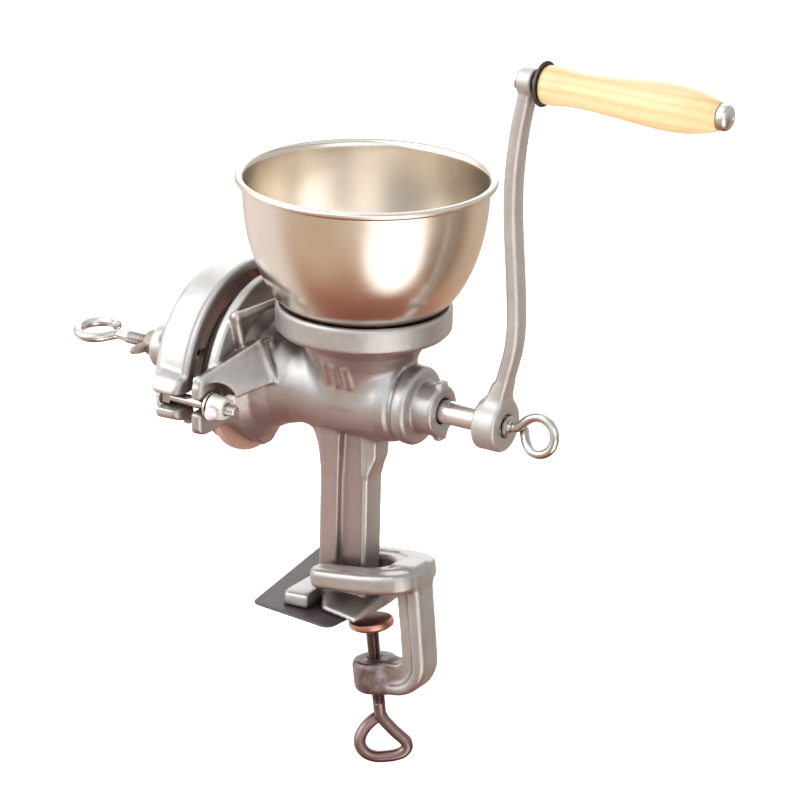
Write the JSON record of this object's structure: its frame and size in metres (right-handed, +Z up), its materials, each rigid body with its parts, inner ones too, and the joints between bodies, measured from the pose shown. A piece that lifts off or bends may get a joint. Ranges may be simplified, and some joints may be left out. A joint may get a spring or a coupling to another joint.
{
  "type": "grain mill",
  "caption": "Hand-cranked cast grain mill with a steel bowl, adjustable grinding plates, wooden grip and a screw clamp for a table edge.",
  "frame": {"origin": "underside of the table plate, straight below the hopper axis", "axes": "+X along the grinding shaft towards the crank, +Z up along the hopper axis, +Y the far side"},
  "size_m": [0.4204, 0.146, 0.4336],
  "materials": {
    "tinned_casting": "satin, tinned casting skin",
    "plated_steel": "bright plated",
    "bowl_steel": "spun and polished",
    "grinding_iron": "as cast",
    "dark_steel": "dull dark",
    "pale_wood": "clear varnish"
  },
  "bodies": {
    "frame": {"body_casting": "tinned_casting", "fixed_grinding_plate": "grinding_iron", "plate_screw_near": "plated_steel", "plate_screw_far": "plated_steel", "grinding_cover": "tinned_casting", "cover_bolt_near": "plated_steel", "cover_bolt_far": "plated_steel", "table_plate": "dark_steel"},
    "hopper": {"hopper_bowl": "bowl_steel"},
    "thrust": {"thrust_ball": "plated_steel"},
    "rotor": {"main_shaft": "plated_steel", "feed_screw": "grinding_iron", "rotating_grinding_plate": "grinding_iron", "plate_carrier": "tinned_casting", "drive_pin": "plated_steel", "crank_arm": "tinned_casting", "grip_bolt": "plated_steel", "grip_washer": "dark_steel", "grip_spacer": "plated_steel"},
    "adjuster": {"adjusting_screw": "plated_steel"},
    "lock": {"lock_nut": "tinned_casting"},
    "grip": {"wooden_grip": "pale_wood"},
    "crank_fixing": {"crank_screw": "plated_steel"},
    "washer_near": {"washer_near": "plated_steel"},
    "nut_near": {"wing_nut_near": "plated_steel"},
    "washer_far": {"washer_far": "plated_steel"},
    "nut_far": {"wing_nut_far": "plated_steel"},
    "clamp": {"clamp_bracket": "tinned_casting"},
    "pad": {"pressure_pad": "plated_steel"},
    "clamp_screw": {"clamp_screw": "plated_steel"}
  },
  "joints": [
    {"name": "bowl_lift", "type": "slide", "parent": "frame", "child": "hopper", "axis": [0, 0, 1], "range_m": [0, 0.06]},
    {"name": "plate_gap", "type": "slide", "parent": "frame", "child": "thrust", "axis": [1, 0, 0], "range_m": [-0.0015, 0.0007]},
    {"name": "crank_turn", "type": "hinge", "parent": "thrust", "child": "rotor", "pos_m": [0, 0, 0.13], "axis": [1, 0, 0], "continuous": true},
    {"name": "adjust_turn", "type": "hinge", "parent": "thrust", "child": "adjuster", "pos_m": [-0.15, 0, 0.13], "axis": [1, 0, 0], "range_deg": [-433, 202]},
    {"name": "lock_turn", "type": "hinge", "parent": "frame", "child": "lock", "pos_m": [-0.142, 0, 0.13], "axis": [1, 0, 0], "range_deg": [-90, 0]},
    {"name": "grip_spin", "type": "hinge", "parent": "rotor", "child": "grip", "pos_m": [0.16, 0, 0.328], "axis": [1, 0, 0], "continuous": true},
    {"name": "crank_screw_turn", "type": "hinge", "parent": "rotor", "child": "crank_fixing", "pos_m": [0.1, 0, 0.13], "axis": [1, 0, 0], "range_deg": [0, 180]},
    {"name": "washer_near_slide", "type": "slide", "parent": "frame", "child": "washer_near", "axis": [1, 0, 0], "range_m": [0, 0.00505]},
    {"name": "wing_nut_near_turn", "type": "hinge", "parent": "washer_near", "child": "nut_near", "pos_m": [-0.055, -0.061, 0.127], "axis": [1, 0, 0], "range_deg": [0, 1800]},
    {"name": "washer_far_slide", "type": "slide", "parent": "frame", "child": "washer_far", "axis": [1, 0, 0], "range_m": [0, 0.00505]},
    {"name": "wing_nut_far_turn", "type": "hinge", "parent": "washer_far", "child": "nut_far", "pos_m": [-0.055, 0.061, 0.127], "axis": [1, 0, 0], "range_deg": [0, 1800]},
    {"name": "clamp_slide", "type": "slide", "parent": "frame", "child": "clamp", "axis": [1, 0, 0], "range_m": [0, 0.036]},
    {"name": "pad_slide", "type": "slide", "parent": "clamp", "child": "pad", "axis": [-0.1305, 0, 0.9914], "range_m": [-0.0165, 0.0037]},
    {"name": "clamp_screw_turn", "type": "hinge", "parent": "pad", "child": "clamp_screw", "pos_m": [0.01341, 0, -0.03879], "axis": [-0.1305, 0, 0.9914], "range_deg": [-4755, 1068]}
  ],
  "couplings": [
    {"joint": "adjust_turn", "follows": "plate_gap", "rad_per_m": 5026.5},
    {"joint": "washer_near_slide", "follows": "wing_nut_near_turn", "m_per_rad": 0.00015915},
    {"joint": "washer_far_slide", "follows": "wing_nut_far_turn", "m_per_rad": 0.00015915},
    {"joint": "clamp_screw_turn", "follows": "pad_slide", "rad_per_m": 5026.5}
  ]
}
